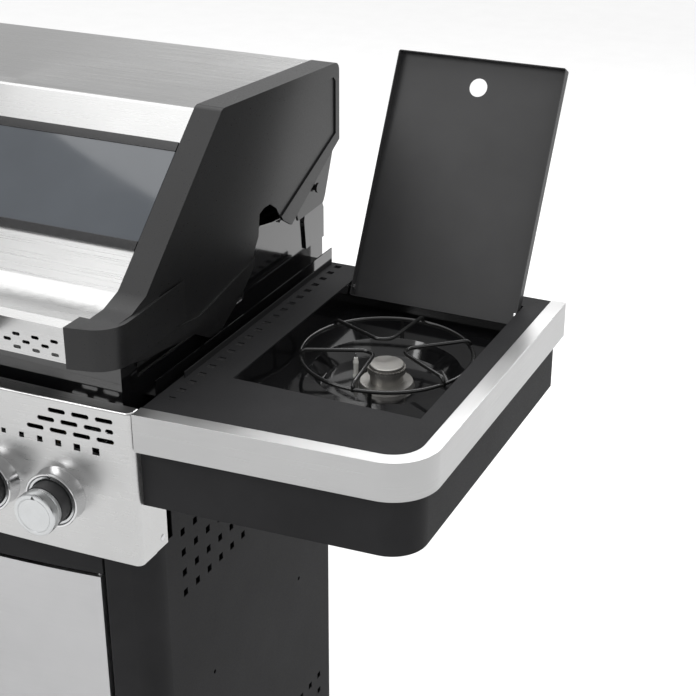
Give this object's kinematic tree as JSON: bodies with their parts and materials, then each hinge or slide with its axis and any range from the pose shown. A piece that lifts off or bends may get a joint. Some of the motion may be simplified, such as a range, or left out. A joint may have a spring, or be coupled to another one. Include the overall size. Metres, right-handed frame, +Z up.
{
  "type": "gas barbecue grill",
  "caption": "Cart-style gas barbecue grill with a hinged windowed hood, side shelves, a lidded side burner, a two-door cabinet and swivel casters.",
  "frame": {"origin": "on the floor, under the middle of the bounding box", "axes": "+X to the right of a person at the knobs, +Y from the knobs to the back, +Z up"},
  "size_m": [1.3, 0.6591, 1.1718],
  "materials": {
    "steel_panel": "brushed",
    "steel_hood": "satin brushed",
    "steel_trim": "brushed along its length",
    "steel_door": "brushed",
    "powder_coat": "fine textured powder coat, matte",
    "lid_coat": "satin textured powder coat",
    "cast_coat": "satin black paint on cast aluminium",
    "enamel": "glossy vitreous enamel",
    "black_steel": "semi-gloss black",
    "window_glass": "tinted, glossy",
    "window_border": "gloss black",
    "polished_steel": "polished",
    "knob_metal": "spun cap with black grip band",
    "cast_iron": "matte enamelled cast iron",
    "burner_steel": "plain",
    "burner_alloy": "satin casting",
    "ceramic": "glazed ceramic",
    "gas_pipe": "zinc plated",
    "brass": "machined",
    "galvanised": "dull galvanised",
    "zinc": "bright zinc plate",
    "tyre": "matte rubber",
    "brake_plastic": "matte"
  },
  "bodies": {
    "cart": {"control_panel": "steel_panel", "right_shelf_trim": "steel_trim", "left_shelf_trim": "steel_trim", "side_panel_left": "powder_coat", "side_panel_right": "powder_coat", "back_panel": "powder_coat", "base_shelf": "powder_coat", "door_frame": "powder_coat", "right_shelf": "powder_coat", "left_shelf": "powder_coat", "tray_rails": "powder_coat", "firebox": "enamel", "burner_tray": "enamel", "hood_hinge_bolts": "black_steel", "pan_support": "black_steel", "knob_bezels": "polished_steel", "door_pins": "polished_steel", "lid_screws": "polished_steel", "warming_rack": "polished_steel", "grate_left": "cast_iron", "grate_right": "cast_iron", "main_burners": "burner_steel", "heat_tents": "burner_steel", "side_burner": "burner_alloy", "burner_cap": "burner_alloy", "igniter": "ceramic", "gas_manifold": "gas_pipe", "gas_valves": "brass", "caster_plates": "zinc"},
    "hood": {"hood_shell": "steel_hood", "window_frame": "window_border", "window_glass": "window_glass", "hood_end_left": "cast_coat", "hood_end_right": "cast_coat", "hood_handle": "polished_steel", "handle_posts": "black_steel", "hood_hinge_tabs": "black_steel"},
    "burner_lid": {"side_burner_lid": "lid_coat"},
    "door_left": {"door_left": "steel_door", "door_handle_left": "polished_steel"},
    "door_right": {"door_right": "steel_door", "door_handle_right": "polished_steel"},
    "grease_tray": {"grease_tray": "galvanised"},
    "knob_1": {"knob_1": "knob_metal"},
    "knob_2": {"knob_2": "knob_metal"},
    "knob_3": {"knob_3": "knob_metal"},
    "knob_4": {"knob_4": "knob_metal"},
    "knob_5": {"knob_5": "knob_metal"},
    "knob_6": {"knob_6": "knob_metal"},
    "caster_front_left": {"caster_fork_front_left": "zinc"},
    "wheel_front_left": {"caster_wheel_front_left": "tyre"},
    "brake_front_left": {"caster_brake_front_left": "brake_plastic"},
    "caster_front_right": {"caster_fork_front_right": "zinc"},
    "wheel_front_right": {"caster_wheel_front_right": "tyre"},
    "brake_front_right": {"caster_brake_front_right": "brake_plastic"},
    "caster_rear_left": {"caster_fork_rear_left": "zinc"},
    "wheel_rear_left": {"caster_wheel_rear_left": "tyre"},
    "caster_rear_right": {"caster_fork_rear_right": "zinc"},
    "wheel_rear_right": {"caster_wheel_rear_right": "tyre"}
  },
  "joints": [
    {"name": "hood_hinge", "type": "hinge", "parent": "cart", "child": "hood", "pos_m": [0, 0.2222, 1.001], "axis": [-1, 0, 0], "range_deg": [0, 80]},
    {"name": "burner_lid_hinge", "type": "hinge", "parent": "cart", "child": "burner_lid", "pos_m": [0.489, 0.1762, 0.891], "axis": [1, 0, 0], "range_deg": [0, 117.5]},
    {"name": "door_left_hinge", "type": "hinge", "parent": "cart", "child": "door_left", "pos_m": [-0.246, -0.2443, 0.4], "axis": [0, 0, -1], "range_deg": [0, 105]},
    {"name": "door_right_hinge", "type": "hinge", "parent": "cart", "child": "door_right", "pos_m": [0.246, -0.2443, 0.4], "axis": [0, 0, 1], "range_deg": [0, 105]},
    {"name": "grease_tray_slide", "type": "slide", "parent": "cart", "child": "grease_tray", "axis": [0, 1, 0], "range_m": [0, 0.25]},
    {"name": "knob_1_turn", "type": "hinge", "parent": "cart", "child": "knob_1", "pos_m": [-0.22, -0.27196, 0.78], "axis": [-0.042, -0.9991, 0], "range_deg": [0, 180]},
    {"name": "knob_2_turn", "type": "hinge", "parent": "cart", "child": "knob_2", "pos_m": [-0.132, -0.27492, 0.78], "axis": [-0.0252, -0.9997, 0], "range_deg": [0, 180]},
    {"name": "knob_3_turn", "type": "hinge", "parent": "cart", "child": "knob_3", "pos_m": [-0.044, -0.27639, 0.78], "axis": [-0.0084, -1, 0], "range_deg": [0, 180]},
    {"name": "knob_4_turn", "type": "hinge", "parent": "cart", "child": "knob_4", "pos_m": [0.044, -0.27639, 0.78], "axis": [0.0084, -1, 0], "range_deg": [0, 180]},
    {"name": "knob_5_turn", "type": "hinge", "parent": "cart", "child": "knob_5", "pos_m": [0.132, -0.27492, 0.78], "axis": [0.0252, -0.9997, 0], "range_deg": [0, 180]},
    {"name": "knob_6_turn", "type": "hinge", "parent": "cart", "child": "knob_6", "pos_m": [0.22, -0.27196, 0.78], "axis": [0.042, -0.9991, 0], "range_deg": [0, 180]},
    {"name": "swivel_front_left", "type": "hinge", "parent": "cart", "child": "caster_front_left", "pos_m": [-0.268, -0.1868, 0.1], "axis": [0, 0, 1], "continuous": true},
    {"name": "roll_front_left", "type": "hinge", "parent": "caster_front_left", "child": "wheel_front_left", "pos_m": [-0.268, -0.1648, 0.038], "axis": [1, 0, 0], "continuous": true},
    {"name": "brake_front_left_press", "type": "hinge", "parent": "caster_front_left", "child": "brake_front_left", "pos_m": [-0.268, -0.2108, 0.096], "axis": [1, 0, 0], "range_deg": [0, 12]},
    {"name": "swivel_front_right", "type": "hinge", "parent": "cart", "child": "caster_front_right", "pos_m": [0.268, -0.1868, 0.1], "axis": [0, 0, 1], "continuous": true},
    {"name": "roll_front_right", "type": "hinge", "parent": "caster_front_right", "child": "wheel_front_right", "pos_m": [0.268, -0.1648, 0.038], "axis": [1, 0, 0], "continuous": true},
    {"name": "brake_front_right_press", "type": "hinge", "parent": "caster_front_right", "child": "brake_front_right", "pos_m": [0.268, -0.2108, 0.096], "axis": [1, 0, 0], "range_deg": [0, 12]},
    {"name": "swivel_rear_left", "type": "hinge", "parent": "cart", "child": "caster_rear_left", "pos_m": [-0.268, 0.1632, 0.1], "axis": [0, 0, 1], "continuous": true},
    {"name": "roll_rear_left", "type": "hinge", "parent": "caster_rear_left", "child": "wheel_rear_left", "pos_m": [-0.268, 0.1852, 0.038], "axis": [1, 0, 0], "continuous": true},
    {"name": "swivel_rear_right", "type": "hinge", "parent": "cart", "child": "caster_rear_right", "pos_m": [0.268, 0.1632, 0.1], "axis": [0, 0, 1], "continuous": true},
    {"name": "roll_rear_right", "type": "hinge", "parent": "caster_rear_right", "child": "wheel_rear_right", "pos_m": [0.268, 0.1852, 0.038], "axis": [1, 0, 0], "continuous": true}
  ]
}
